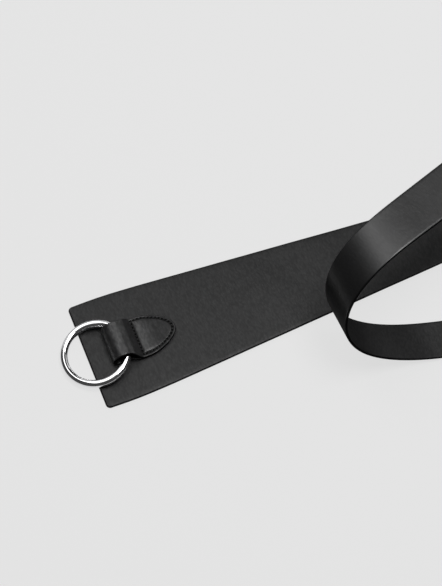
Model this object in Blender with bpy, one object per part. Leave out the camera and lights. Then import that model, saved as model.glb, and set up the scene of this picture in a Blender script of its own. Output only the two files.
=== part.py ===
"""A leather knot belt: a ring in a sewn keeper at its wide end, and a strap that curls back to its tail.

Metres, +Z up. The wide end lies flat on the floor and points along -X, its middle on the X axis. Every
piece hangs on one empty at the wide end's edge, so the tables below count X from that edge.
"""

import math

import bmesh
import bpy
import numpy as np
from mathutils import Matrix, Vector

# The wide end's edge, seen from the origin, which is under the strap
WIDE_END_X = -0.100

# Leather and clearances
LEATHER = 0.0020
PLY = 0.0012
GAP = 0.0003

# The strap's width, measured along it from the wide end
WIDTH_TABLE = (
    # from the wide end, width
    (0.000, 0.0790),
    (0.020, 0.0802),
    (0.045, 0.0777),
    (0.250, 0.0469),
    (0.360, 0.0330),
    (0.486, 0.0304),
    (0.706, 0.0268),
    (0.856, 0.0250),
)
WIDTH_SOFTENING = 0.010
WIDE_CORNER = 0.0030
TAIL_CORNER = 0.0080

# Where the tail leaves the floor for the near curl, seen from above
TAIL_LEAVES = (0.2540, -0.0818)
TAIL_ANGLE = -12.0

# The strap's bends from the tail's tip. Curl is in degrees for each centimetre of strap, and slant is
# the angle, in degrees, between the lines that it bends along and straight across it.
CURL_TABLE = (
    # from the tail, curl, slant
    (0.000, 0.0, 0.0),
    (0.090, 0.0, 0.0),
    (0.150, 0.0, 15.0),
    (0.170, 2.5, 15.0),
    (0.190, 4.5, 15.0),
    (0.210, 6.5, 15.0),
    (0.230, 8.5, 15.0),
    (0.250, 10.5, 15.0),
    (0.270, 12.0, 15.0),
    (0.290, 13.5, 15.0),
    (0.310, 14.0, 15.0),
    (0.330, 12.0, 15.0),
    (0.350, 6.0, 15.0),
    (0.370, 0.0, 15.0),
)
TAIL_FLAT = 0.150

# The far turn, from its start on the upper run. Its bends are first guesses, which settle_far_turn
# corrects until the wide end lies flat on the floor along the X axis.
FAR_TURN_START = 0.440
FAR_TURN_TABLE = (
    # share of its length, curl, slant
    (0.000, 0.0, -20.0),
    (0.125, 21.0, -5.0),
    (0.250, 21.0, 10.0),
    (0.375, 12.0, 20.0),
    (0.500, 5.0, 18.0),
    (0.625, 5.0, 15.0),
    (0.750, 11.5, 2.0),
    (0.875, 13.5, -12.0),
    (1.000, 0.0, -27.0),
)
FAR_TURN_LENGTH = 0.165
SLANT_FADE = 0.080
WIDE_FLAT = 0.2513
STRAP_LENGTH = FAR_TURN_START + FAR_TURN_LENGTH + WIDE_FLAT
NEWTON_STEPS = 8
NUDGE = 1e-4

# The ring: its wire's middle runs on a circle that leans on the strap's end edge
RING_RADIUS = 0.0216
WIRE_RADIUS = 0.0027
RING_X = 0.0061
RING_Y = -0.0010
RING_TILT = 7.0
RING_SIDES = 48
WIRE_SIDES = 12
HINGE_X = 0.0252

# The keeper's side view, in X and Z above the strap's top face. Corners are x, z, radius.
KEEPER_BASE = LEATHER + GAP
LOOP_X = (0.0145, 0.0345)
LOOP_HEIGHT = 0.0121
LOOP_SHOULDER = 0.0303
NOSE_LOW_RADIUS = 0.0042
NOSE_TOP_RADIUS = 0.0060
SHOULDER_RADIUS = 0.0052

# The keeper's outline from above. Corners are x, y, radius, for the side at +Y.
KEEPER_Y = 0.0002
KEEPER_NOSE_HALF = 0.0130
KEEPER_HALF = 0.0153
KEEPER_FLARE_X = (0.0260, 0.0340)
KEEPER_POINT = (0.0515, 0.0650)
POINT_SHOULDER_RADIUS = 0.0120
POINT_TIP_RADIUS = 0.0050

STATION_STEP = 0.0045
INTEGRATION_STEP = 0.0045
SHARP_ANGLE = 35.0

BLACK_LEATHER = (0.030, 0.030, 0.032, 1.0)
KEEPER_LEATHER = (0.026, 0.026, 0.028, 1.0)
POLISHED_METAL = (0.78, 0.78, 0.80, 1.0)


def clear_scene():
    for existing in list(bpy.data.objects):
        bpy.data.objects.remove(existing, do_unlink=True)


def make_material(name, colour, roughness, metallic):
    material = bpy.data.materials.new(name)
    material.use_nodes = True
    shader = material.node_tree.nodes["Principled BSDF"]
    shader.inputs["Base Color"].default_value = colour
    shader.inputs["Roughness"].default_value = roughness
    shader.inputs["Metallic"].default_value = metallic
    return material


def turn_about(axis, angle):
    """The matrix that turns a vector about a unit axis."""
    x, y, z = axis
    cross = np.array([[0.0, -z, y], [z, 0.0, -x], [-y, x, 0.0]])
    return np.eye(3) + math.sin(angle) * cross + (1.0 - math.cos(angle)) * cross @ cross


def follow_strap(start, axes, table, length):
    """Lay a strap from a start point. Leather doesn't stretch, so each step turns its three axes (along,
    face, across) about the slanted line that it bends along."""
    steps = max(2, round(length / INTEGRATION_STEP))
    edges = np.linspace(0.0, length, steps + 1)
    middles = (edges[1:] + edges[:-1]) / 2
    at, curl, slant = np.array(table).T
    curls = np.radians(np.interp(middles, at, curl)) * 100.0
    slants = np.radians(np.interp(middles, at, slant))
    points = [np.array(start, float)]
    frames = [np.array(axes, float)]
    for curl_here, slant_here in zip(curls, slants):
        along, _, across = frames[-1]
        line = math.cos(slant_here) * across + math.sin(slant_here) * along
        turned = frames[-1] @ turn_about(line, curl_here * length / steps).T
        points.append(points[-1] + (along + turned[0]) * length / steps / 2)
        frames.append(turned)
    return edges, np.array(points), np.array(frames)


def tail_start():
    """The tip of the tail on the floor, and the strap's axes there."""
    angle = math.radians(TAIL_ANGLE)
    outward = np.array([math.cos(angle), math.sin(angle), 0.0])
    face = np.array([0.0, 0.0, 1.0])
    point = np.array([*TAIL_LEAVES, LEATHER / 2]) + outward * TAIL_FLAT
    return point, np.array([-outward, face, np.cross(-outward, face)])


def far_turn_rows(unknowns):
    """The far turn's table with the unknowns added: seven curls, then four evenly spaced slants."""
    share, curl, slant = np.array(FAR_TURN_TABLE).T
    curl = curl + np.concatenate([[0.0], unknowns[:7], [0.0]])
    slant = slant + np.interp(share, np.linspace(0.0, 1.0, 4), unknowns[7:])
    return np.stack([share * FAR_TURN_LENGTH, curl, slant], axis=1)


def settle_far_turn(start, axes):
    """Correct the far turn by Newton steps until the strap comes down flat and straight on the X axis."""

    def misfit(unknowns):
        _, points, frames = follow_strap(start, axes, far_turn_rows(unknowns), FAR_TURN_LENGTH)
        along, face, _ = frames[-1]
        height = points[-1][2] - LEATHER / 2
        return np.array([height * 20, points[-1][1] * 20, along[2], along[1], face[1]])

    unknowns = np.zeros(11)
    weights = np.array([1.0] * 7 + [3.0] * 4)
    for _ in range(NEWTON_STEPS):
        now = misfit(unknowns)
        slopes = [(misfit(unknowns + NUDGE * step) - now) / NUDGE for step in np.eye(11)]
        slopes = np.array(slopes).T * weights
        unknowns = unknowns - weights * np.linalg.lstsq(slopes, now, rcond=None)[0]
    return far_turn_rows(unknowns)


def strap_path():
    """Distances, points, axes and slants down the strap's middle, from the tail's tip to the wide end."""
    point, axes = tail_start()
    near = follow_strap(point, axes, CURL_TABLE, FAR_TURN_START)
    turn_rows = settle_far_turn(near[1][-1], near[2][-1])
    turn = follow_strap(near[1][-1], near[2][-1], turn_rows, FAR_TURN_LENGTH)
    flat_rows = [(0.0, 0.0, turn_rows[-1][2]), (SLANT_FADE, 0.0, 0.0)]
    flat = follow_strap(turn[1][-1], turn[2][-1], flat_rows, WIDE_FLAT)

    starts = [0.0, FAR_TURN_START, FAR_TURN_START + FAR_TURN_LENGTH]
    runs = [near, turn, flat]
    rows = [np.array(table) for table in (CURL_TABLE, turn_rows, flat_rows)]
    distances = np.concatenate([start + run[0] for start, run in zip(starts, runs)])
    points = np.concatenate([run[1] for run in runs])
    frames = np.concatenate([run[2] for run in runs])
    slant_at = np.concatenate([start + table[:, 0] for start, table in zip(starts, rows)])
    slants = np.interp(distances, slant_at, np.concatenate([table[:, 2] for table in rows]))
    return distances, points, frames, np.tan(np.radians(slants))


def strap_width(from_wide_end):
    """The strap's width, with the table's corners softened by averaging."""
    at, width = np.array(WIDTH_TABLE).T
    spread = np.linspace(-WIDTH_SOFTENING, WIDTH_SOFTENING, 5)
    return np.mean([np.interp(from_wide_end + offset, at, width) for offset in spread], axis=0)


def corner_cut(from_end, radius):
    """How far a round corner takes the edge in, at a distance from the strap's end."""
    inside = np.clip(radius - from_end, 0.0, radius)
    return radius - np.sqrt(radius**2 - inside**2)


def strap_stations():
    """Distances from the tail at which the strap gets a section, closer together at its corners."""
    corner = np.linspace(0.0, 1.0, 5) ** 2
    tail = TAIL_CORNER * corner
    wide = STRAP_LENGTH - WIDE_CORNER * corner
    count = round((STRAP_LENGTH - TAIL_CORNER - WIDE_CORNER) / STATION_STEP)
    middle = np.linspace(TAIL_CORNER, STRAP_LENGTH - WIDE_CORNER, count + 1)
    return np.unique(np.concatenate([tail, middle, wide]).round(7))


def strap_mesh():
    """A loft of four-cornered sections, one along each line that the strap bends along."""
    edges, points, frames, leans = strap_path()
    at = strap_stations()
    centre = np.stack([np.interp(at, edges, points[:, k]) for k in range(3)], axis=1)
    flat_frames = frames.reshape(-1, 9)
    axes_at = np.stack([np.interp(at, edges, flat_frames[:, k]) for k in range(9)], axis=1)
    axes_at = axes_at.reshape(-1, 3, 3)
    axes_at = axes_at / np.linalg.norm(axes_at, axis=2, keepdims=True)
    slant = np.interp(at, edges, leans)

    sides = []
    for side in (-1.0, 1.0):
        reach = strap_width(STRAP_LENGTH - at) / 2
        for _ in range(4):
            place = np.clip(at + side * reach * slant, 0.0, STRAP_LENGTH)
            reach = strap_width(STRAP_LENGTH - place) / 2
        reach = reach - corner_cut(at, TAIL_CORNER) - corner_cut(STRAP_LENGTH - at, WIDE_CORNER)
        line = axes_at[:, 2] + slant[:, None] * axes_at[:, 0]
        sides.append(centre + side * reach[:, None] * line)
    half = axes_at[:, 1] * LEATHER / 2
    rings = np.stack([sides[0] - half, sides[1] - half, sides[1] + half, sides[0] + half], axis=1)

    mesh = bmesh.new()
    loops = [[mesh.verts.new(corner) for corner in ring] for ring in rings]
    for near, far in zip(loops, loops[1:]):
        for k in range(4):
            mesh.faces.new((near[k], near[(k + 1) % 4], far[(k + 1) % 4], far[k]))
    mesh.faces.new(loops[0])
    mesh.faces.new(loops[-1][::-1])
    bmesh.ops.recalc_face_normals(mesh, faces=mesh.faces)
    return mesh


def add_mesh_object(name, mesh, material, collection):
    data = bpy.data.meshes.new(name)
    mesh.to_mesh(data)
    mesh.free()
    made = bpy.data.objects.new(name, data)
    made.data.materials.append(material)
    collection.objects.link(made)
    return made


def rounded_outline(corners, steps=6):
    """A closed outline from corners (x, y, radius), each rounded by an arc."""
    outline = []
    count = len(corners)
    for k, (x, y, radius) in enumerate(corners):
        here = Vector((x, y))
        back = (Vector(corners[k - 1][:2]) - here).normalized()
        ahead = (Vector(corners[(k + 1) % count][:2]) - here).normalized()
        half = back.angle(ahead) / 2
        if radius == 0.0:
            outline.append(here)
            continue
        centre = here + (back + ahead).normalized() * radius / math.sin(half)
        first = here + back * radius / math.tan(half) - centre
        last = here + ahead * radius / math.tan(half) - centre
        sweep = first.angle_signed(last)
        for step in range(steps + 1):
            turned = Matrix.Rotation(-sweep * step / steps, 2) @ first
            outline.append(centre + turned)
    return outline


def extrude_outlines(name, outlines, half_depth, collection):
    """A solid from closed flat outlines; an outline inside another is a hole."""
    curve = bpy.data.curves.new(name, "CURVE")
    curve.dimensions = "2D"
    curve.fill_mode = "BOTH"
    curve.extrude = half_depth
    for outline in outlines:
        spline = curve.splines.new("POLY")
        spline.points.add(len(outline) - 1)
        for point, (x, y) in zip(spline.points, outline):
            point.co = (x, y, 0.0, 1.0)
        spline.use_cyclic_u = True
    flat = bpy.data.objects.new(name + "_outline", curve)
    collection.objects.link(flat)
    evaluated = flat.evaluated_get(bpy.context.evaluated_depsgraph_get())
    data = bpy.data.meshes.new_from_object(evaluated)
    bpy.data.objects.remove(flat)
    mesh = bmesh.new()
    mesh.from_mesh(data)
    bmesh.ops.remove_doubles(mesh, verts=mesh.verts, dist=1e-6)
    bmesh.ops.recalc_face_normals(mesh, faces=mesh.faces)
    mesh.to_mesh(data)
    mesh.free()
    made = bpy.data.objects.new(name, data)
    collection.objects.link(made)
    return made


def keeper_side(inset):
    """The loop of the keeper from the side, drawn in by inset, as corners (x, z, radius)."""
    low = KEEPER_BASE + inset
    top = KEEPER_BASE + LOOP_HEIGHT - inset
    nose, throat = LOOP_X
    return [
        (throat - inset, low, 0.0),
        (LOOP_SHOULDER - inset, top, SHOULDER_RADIUS - inset),
        (nose + inset, top, NOSE_TOP_RADIUS - inset),
        (nose + inset, low, NOSE_LOW_RADIUS - inset),
    ]


def make_keeper(material, collection, cutters):
    """The keeper: two plies sewn flat, with a loop at the nose, cut to its outline from above."""
    tip = KEEPER_POINT[1]
    throat = LOOP_X[1]
    slab_top = KEEPER_BASE + 2 * PLY
    shoulder, top = keeper_side(0.0)[1][:2]
    share = (slab_top - KEEPER_BASE) / (top - KEEPER_BASE)
    meets = throat + (shoulder - throat) * share
    outer = [(tip, KEEPER_BASE, 0.0), (tip, slab_top, 0.0), (meets, slab_top, 0.0)]
    outer += keeper_side(0.0)[1:]
    side = [rounded_outline(outer), rounded_outline(keeper_side(PLY))]
    keeper = extrude_outlines("ring_tab", side, 2 * KEEPER_HALF, collection)
    keeper.data.transform(Matrix.Rotation(math.pi / 2, 4, "X"))

    point_start, point_tip = KEEPER_POINT
    flare_start, flare_end = KEEPER_FLARE_X
    nose = LOOP_X[0] - PLY
    half = [
        (nose, KEEPER_NOSE_HALF, 0.0),
        (flare_start, KEEPER_NOSE_HALF, 0.02),
        (flare_end, KEEPER_HALF, 0.02),
        (point_start, KEEPER_HALF, POINT_SHOULDER_RADIUS),
    ]
    mirrored = [(x, -y, radius) for x, y, radius in reversed(half)]
    outline = half + [(point_tip, 0.0, POINT_TIP_RADIUS)] + mirrored
    outline = [(x, y + KEEPER_Y, radius) for x, y, radius in outline]
    cutter = extrude_outlines("keeper_plan", [rounded_outline(outline)], 2 * LOOP_HEIGHT, cutters)
    cutter.hide_render = True
    cutter.display_type = "WIRE"
    trim = keeper.modifiers.new("trim", "BOOLEAN")
    trim.operation = "INTERSECT"
    trim.solver = "EXACT"
    trim.object = cutter
    keeper.data.materials.append(material)
    return keeper, cutter


def ring_plane():
    """The ring's centre and its hinge point: its plane clears the strap's end edge by the gap."""
    slope = math.tan(math.radians(RING_TILT))
    over_edge = LEATHER + GAP + WIRE_RADIUS / math.cos(math.radians(RING_TILT))
    centre = Vector((RING_X, RING_Y, over_edge + RING_X * slope))
    hinge = Vector((HINGE_X, RING_Y, over_edge + HINGE_X * slope))
    return centre, hinge


def make_ring(material, collection):
    """The ring, carried by an empty on its hinge line."""
    centre, hinge = ring_plane()
    pivot = bpy.data.objects.new("ring_hinge", None)
    pivot.location = hinge
    collection.objects.link(pivot)
    bpy.ops.mesh.primitive_torus_add(
        major_segments=RING_SIDES,
        minor_segments=WIRE_SIDES,
        major_radius=RING_RADIUS,
        minor_radius=WIRE_RADIUS,
    )
    ring = bpy.context.active_object
    for holder in list(ring.users_collection):
        holder.objects.unlink(ring)
    collection.objects.link(ring)
    ring.name = "ring"
    ring.data.name = "ring"
    ring.parent = pivot
    ring.location = centre - hinge
    ring.rotation_euler = (0.0, -math.radians(RING_TILT), 0.0)
    ring.data.shade_smooth()
    ring.data.materials.append(material)
    return pivot


def main():
    clear_scene()
    belt = bpy.data.collections.new("knot_belt")
    cutters = bpy.data.collections.new("cutters")
    bpy.context.scene.collection.children.link(belt)
    bpy.context.scene.collection.children.link(cutters)

    strap_leather = make_material("strap_leather", BLACK_LEATHER, 0.45, 0.0)
    keeper_leather = make_material("tab_leather", KEEPER_LEATHER, 0.38, 0.0)
    metal = make_material("ring_metal", POLISHED_METAL, 0.12, 1.0)

    root = bpy.data.objects.new("wide_end", None)
    root.location = (WIDE_END_X, 0.0, 0.0)
    belt.objects.link(root)
    strap = add_mesh_object("strap", strap_mesh(), strap_leather, belt)
    strap.data.shade_smooth()
    strap.data.set_sharp_from_angle(angle=math.radians(SHARP_ANGLE))
    keeper, cutter = make_keeper(keeper_leather, belt, cutters)
    pivot = make_ring(metal, belt)
    for piece in (strap, keeper, cutter, pivot):
        piece.parent = root


main()
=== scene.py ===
"""The looks of a leather knot belt that lies on a studio floor.

Metres, +Z up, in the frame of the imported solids: the origin is under the strap's wide end, which points
along -X. Travel along the strap runs from the tail's tip to the wide end. A leather piece is worked out
flat, along and across, and then laid on its path, so it is never stretched.
"""

import math

import bpy
import numpy as np
from bpy.props import FloatProperty, FloatVectorProperty, IntProperty, PointerProperty
from bpy.types import Operator, Panel, PropertyGroup
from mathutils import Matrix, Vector


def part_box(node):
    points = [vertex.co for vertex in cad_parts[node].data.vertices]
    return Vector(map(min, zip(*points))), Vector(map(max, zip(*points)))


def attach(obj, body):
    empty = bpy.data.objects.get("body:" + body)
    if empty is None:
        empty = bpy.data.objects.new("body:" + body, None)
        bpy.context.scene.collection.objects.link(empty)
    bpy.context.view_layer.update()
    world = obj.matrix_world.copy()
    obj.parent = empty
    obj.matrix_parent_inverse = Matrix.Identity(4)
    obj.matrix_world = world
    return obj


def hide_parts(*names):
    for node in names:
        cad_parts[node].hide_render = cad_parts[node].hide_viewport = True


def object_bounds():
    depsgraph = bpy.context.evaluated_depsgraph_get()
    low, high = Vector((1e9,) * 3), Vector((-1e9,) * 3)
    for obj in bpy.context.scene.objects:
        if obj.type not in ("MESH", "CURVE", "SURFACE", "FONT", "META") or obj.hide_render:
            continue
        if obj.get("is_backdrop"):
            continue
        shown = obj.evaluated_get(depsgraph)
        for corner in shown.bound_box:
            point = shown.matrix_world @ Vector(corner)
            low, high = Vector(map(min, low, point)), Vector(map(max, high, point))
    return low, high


bl_info = {
    "name": "Knot Belt",
    "version": (1, 0, 0),
    "blender": (4, 5, 0),
    "location": "3D View > Sidebar > Knot Belt",
    "description": "Builds a leather knot belt, its ring and keeper, and the studio round them",
    "category": "Add Mesh",
}

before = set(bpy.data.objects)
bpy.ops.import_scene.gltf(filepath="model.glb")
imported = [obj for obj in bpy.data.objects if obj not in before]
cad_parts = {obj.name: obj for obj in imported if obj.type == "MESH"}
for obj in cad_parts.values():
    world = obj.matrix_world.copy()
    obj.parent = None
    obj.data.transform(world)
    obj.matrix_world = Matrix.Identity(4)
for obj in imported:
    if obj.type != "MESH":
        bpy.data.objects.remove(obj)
cad_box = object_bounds()

# The strap's width, measured along it from the wide end
WIDTH_TABLE = (
    # from the wide end, width
    (0.000, 0.0790),
    (0.020, 0.0802),
    (0.045, 0.0777),
    (0.250, 0.0469),
    (0.360, 0.0330),
    (0.486, 0.0304),
    (0.706, 0.0268),
    (0.856, 0.0250),
)
WIDTH_SOFTENING = 0.010
CORNER_ROWS = 9
BEND_LINE_STEPS = 10

# The leather's slow waves, which fade out before the wide end, where the strap lies flat
WAVES = (
    # turn for each metre along, turn for each metre across, start
    (71.0, 40.0, 0.0),
    (113.0, -87.0, 1.3),
)
WAVE_END = 0.085
WAVE_FADE = 0.040

# Where the tail leaves the floor for the near curl, seen from above and from the wide end, and which way
# it points
TAIL_LEAVES = (0.2540, -0.0818)
TAIL_ANGLE = -12.0
TAIL_FLAT = 0.150

# The strap's bends from the tail's tip. Curl is in degrees for each centimetre of strap, and slant is
# the angle, in degrees, between the lines that it bends along and straight across it.
CURL_TABLE = (
    # from the tail, curl, slant
    (0.000, 0.0, 0.0),
    (0.090, 0.0, 0.0),
    (0.150, 0.0, 15.0),
    (0.170, 2.5, 15.0),
    (0.190, 4.5, 15.0),
    (0.210, 6.5, 15.0),
    (0.230, 8.5, 15.0),
    (0.250, 10.5, 15.0),
    (0.270, 12.0, 15.0),
    (0.290, 13.5, 15.0),
    (0.310, 14.0, 15.0),
    (0.330, 12.0, 15.0),
    (0.350, 6.0, 15.0),
    (0.370, 0.0, 15.0),
)

# The far turn, from its start on the upper run. Its bends are first guesses, which settle_far_turn
# corrects until the wide end lies flat on the floor along the X axis.
FAR_TURN_START = 0.440
FAR_TURN_TABLE = (
    # share of its length, curl, slant
    (0.000, 0.0, -20.0),
    (0.125, 21.0, -5.0),
    (0.250, 21.0, 10.0),
    (0.375, 12.0, 20.0),
    (0.500, 5.0, 18.0),
    (0.625, 5.0, 15.0),
    (0.750, 11.5, 2.0),
    (0.875, 13.5, -12.0),
    (1.000, 0.0, -27.0),
)
FAR_TURN_LENGTH = 0.165
SLANT_FADE = 0.080
WIDE_FLAT = 0.2513
STRAP_LENGTH = FAR_TURN_START + FAR_TURN_LENGTH + WIDE_FLAT
CURL_UNKNOWNS = 7
SLANT_UNKNOWNS = 4
SLANT_WEIGHT = 3.0
PLACE_WEIGHT = 20.0
NEWTON_STEPS = 8
NUDGE = 1e-4
PATH_STEP = 0.0045

# The keeper from the side, along X from the strap's wide end and up from its base. Corners of the line
# that its leather follows, from the point of the lower ply round the loop to the point of the upper one.
KEEPER_LINE = (
    # along, up in plies, radius
    ("tip", 0.5, 0.0),
    ("nose", 0.5, 0.0036),
    ("nose", "top", 0.0070),
    ("shoulder", "top", 0.0080),
    ("foot", 1.5, 0.0020),
    ("tip", 1.5, 0.0),
)
KEEPER_LINE_STEP = 0.00005
FOOT_BACK = 0.4

# The keeper from above, from the strap's wide end: where its loop widens to the sewn part, and the two
# powers of its point's arch
FLARE_START = 0.0260
FLARE_LENGTH = 0.0080
ARCH_INNER_POWER = 1.5
ARCH_OUTER_POWER = 0.54

# The keeper's upper face inside its stitches, which stands up most just past the stitch line
PUFF_RISE = 0.0014
PUFF_TOP = 0.0040
PUFF_SPREAD = 0.0060
PUFF_LEAST = 0.15

# The groove that the thread lies in and the holes at the stitches' ends: widths, depth, and painted shade
# from 0 to 1, given as less shine there, as are the duller border outside the stitches and the duller point
GROOVE_WIDTH = 0.0006
GROOVE_SHADE = 0.3
HOLE_WIDTH = 0.0006
HOLE_DEPTH = 0.0004
HOLE_SHADE_WIDTH = 0.0007
BORDER_SHADE = 0.5
POINT_SHADE = 0.6
POINT_SHADE_START = 0.003
POINT_SHADE_LENGTH = 0.010

# Sections of the keeper's mesh: close together at its two points and where the stitches are
SEWN_AFTER_TOP = 0.008
LOWER_POINT = 0.0060
LOWER_POINT_ROWS = 20
LOOP_START = 0.0075
LOOP_STEP = 0.0006
SEWN_STEP = 0.00028
UPPER_POINT = 0.0040
UPPER_POINT_ROWS = 24
KEEPER_COLUMNS = 96

# The stitches: the points of their two curves, how many are compared at once, the mesh of each stitch,
# half its length in pitches, how far it slants across its line, how far its ends dip in threads, and how
# far it sits in the groove
AROUND_POINTS = 2001
ACROSS_POINTS = 401
NEAREST_BATCH = 100
STITCH_RINGS = 11
STITCH_SIDES = 12
STITCH_HALF = 0.36
STITCH_SLANT = 0.60
STITCH_DIP = 0.55
STITCH_SEAT = 0.3

# The finishes of the two leathers. Roughness and shine are the lining's and then the face's, and the last
# entry is painted shade in the grain's creases, given as less shine there.
STRAP_FINISH = {"roughness": (0.36, 0.44), "shine": (0.8, 0.45), "grain_crease_shade": 0.17}
KEEPER_FINISH = {"roughness": (0.46, 0.46), "shine": (0.9, 0.9), "grain_crease_shade": 0.28}
# The grain's relief over which its painted crease shade runs from least to most
RELIEF_RANGE = (0.75, 1.55)
SLOW_RANGE = (0.3, 0.7)

# The soft lights, with their share of the softbox power
SOFTBOXES = (
    # name, place, size, share
    ("top_softbox", (0.30, -0.07, 1.27), (0.60, 0.45), 0.95),
    ("left_softbox", (-0.22, 0.75, 1.27), (0.45, 0.90), 0.40),
    ("ring_softbox", (-0.25, 0.05, 1.27), (0.42, 0.50), 0.085),
    ("back_card", (-0.20, 1.50, 0.70), (2.00, 0.90), 0.50),
    ("right_card", (1.15, 0.45, 0.42), (0.80, 0.80), 0.20),
)

LOOK_AT = (0.0016, 0.0124, 0.0)
CARD_DROP = 0.001
SMALLEST_HALF_WIDTH = 0.0003
EDGE_ROWS = 8


def wide_end_x():
    """Where the strap's wide end lies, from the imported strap."""
    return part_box("strap")[0].x


class StrapSettings(PropertyGroup):
    """Sizes and finish of the strap."""

    thickness: FloatProperty(
        name="Leather thickness",
        description="Thickness of the strap's leather",
        default=0.0020,
        unit="LENGTH",
        subtype="DISTANCE",
    )
    edge: FloatProperty(
        name="Edge rounding",
        description="How far the painted edge is rounded in from the strap's outline",
        default=0.0012,
        unit="LENGTH",
        subtype="DISTANCE",
    )
    wide_corner: FloatProperty(
        name="Wide end corner",
        description="Corner radius at the wide end",
        default=0.0030,
        unit="LENGTH",
        subtype="DISTANCE",
    )
    tail_corner: FloatProperty(
        name="Tail corner",
        description="Corner radius at the tail's tip",
        default=0.0080,
        unit="LENGTH",
        subtype="DISTANCE",
    )
    station_step: FloatProperty(
        name="Station step",
        description="Distance between the mesh's sections along the strap",
        default=0.0018,
        unit="LENGTH",
        subtype="DISTANCE",
    )
    columns: IntProperty(
        name="Columns",
        description="Faces across the strap",
        default=32,
    )
    wave: FloatProperty(
        name="Unevenness",
        description="Height of the leather's slow waves where it lies free",
        default=0.00012,
        unit="LENGTH",
        subtype="DISTANCE",
    )
    colour: FloatVectorProperty(
        name="Leather colour",
        description="Colour of the strap's face",
        default=(0.0045, 0.0045, 0.0048),
        size=3,
        subtype="COLOR",
    )
    edge_colour: FloatVectorProperty(
        name="Edge colour",
        description="Colour of the painted edge",
        default=(0.002, 0.002, 0.0022),
        size=3,
        subtype="COLOR",
    )


class KeeperSettings(PropertyGroup):
    """Sizes and finish of the leather keeper and its stitches."""

    ply: FloatProperty(
        name="Ply thickness",
        description="Thickness of the keeper's leather",
        default=0.0012,
        unit="LENGTH",
        subtype="DISTANCE",
    )
    edge: FloatProperty(
        name="Edge rounding",
        description="How far the keeper's edge is rounded in from its outline",
        default=0.0005,
        unit="LENGTH",
        subtype="DISTANCE",
    )
    throat: FloatProperty(
        name="Throat",
        description="Where the loop's wall meets the lower ply, from the wide end",
        default=0.0353,
        unit="LENGTH",
        subtype="DISTANCE",
    )
    shoulder: FloatProperty(
        name="Shoulder",
        description="Where the loop's top turns down to the throat, from the wide end",
        default=0.0286,
        unit="LENGTH",
        subtype="DISTANCE",
    )
    nose_half: FloatProperty(
        name="Loop half width",
        description="Half the width of the loop that holds the ring",
        default=0.0130,
        unit="LENGTH",
        subtype="DISTANCE",
    )
    half: FloatProperty(
        name="Half width",
        description="Half the width of the sewn part",
        default=0.0153,
        unit="LENGTH",
        subtype="DISTANCE",
    )
    point_start: FloatProperty(
        name="Start of the point",
        description="Where the outline begins to close to its point, from the wide end",
        default=0.0400,
        unit="LENGTH",
        subtype="DISTANCE",
    )
    stitch_line: FloatProperty(
        name="Stitch line",
        description="Where the stitches cross the keeper, from the wide end",
        default=0.0358,
        unit="LENGTH",
        subtype="DISTANCE",
    )
    stitch_inset: FloatProperty(
        name="Stitch inset",
        description="Distance of the stitches from the keeper's outline",
        default=0.0022,
        unit="LENGTH",
        subtype="DISTANCE",
    )
    stitch_pitch: FloatProperty(
        name="Stitch pitch",
        description="Distance from one stitch to the next",
        default=0.0025,
        unit="LENGTH",
        subtype="DISTANCE",
    )
    thread: FloatProperty(
        name="Thread",
        description="Thickness of the thread",
        default=0.0009,
        unit="LENGTH",
        subtype="DISTANCE",
    )
    puff: FloatProperty(
        name="Puff",
        description="How far the leather stands up between the stitches",
        default=0.0006,
        unit="LENGTH",
        subtype="DISTANCE",
    )
    groove: FloatProperty(
        name="Groove",
        description="How deep the thread pulls the leather in",
        default=0.00035,
        unit="LENGTH",
        subtype="DISTANCE",
    )
    colour: FloatVectorProperty(
        name="Leather colour",
        description="Colour of the keeper's leather",
        default=(0.0045, 0.0045, 0.0048),
        size=3,
        subtype="COLOR",
    )
    thread_colour: FloatVectorProperty(
        name="Thread colour",
        description="Colour of the stitches",
        default=(0.002, 0.002, 0.002),
        size=3,
        subtype="COLOR",
    )


class RingSettings(PropertyGroup):
    """Sizes and finish of the ring."""

    wire: FloatProperty(
        name="Wire radius",
        description="Radius of the ring's wire",
        default=0.0027,
        unit="LENGTH",
        subtype="DISTANCE",
    )
    tilt: FloatProperty(
        name="Tilt",
        description="How far the ring leans on the strap's end edge",
        default=math.radians(7.0),
        subtype="ANGLE",
    )
    sides: IntProperty(
        name="Sides",
        description="Faces round the ring",
        default=256,
    )
    wire_sides: IntProperty(
        name="Wire sides",
        description="Faces round the ring's wire",
        default=64,
    )
    colour: FloatVectorProperty(
        name="Metal colour",
        description="Colour of the polished metal",
        default=(0.86, 0.86, 0.87),
        size=3,
        subtype="COLOR",
    )


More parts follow.
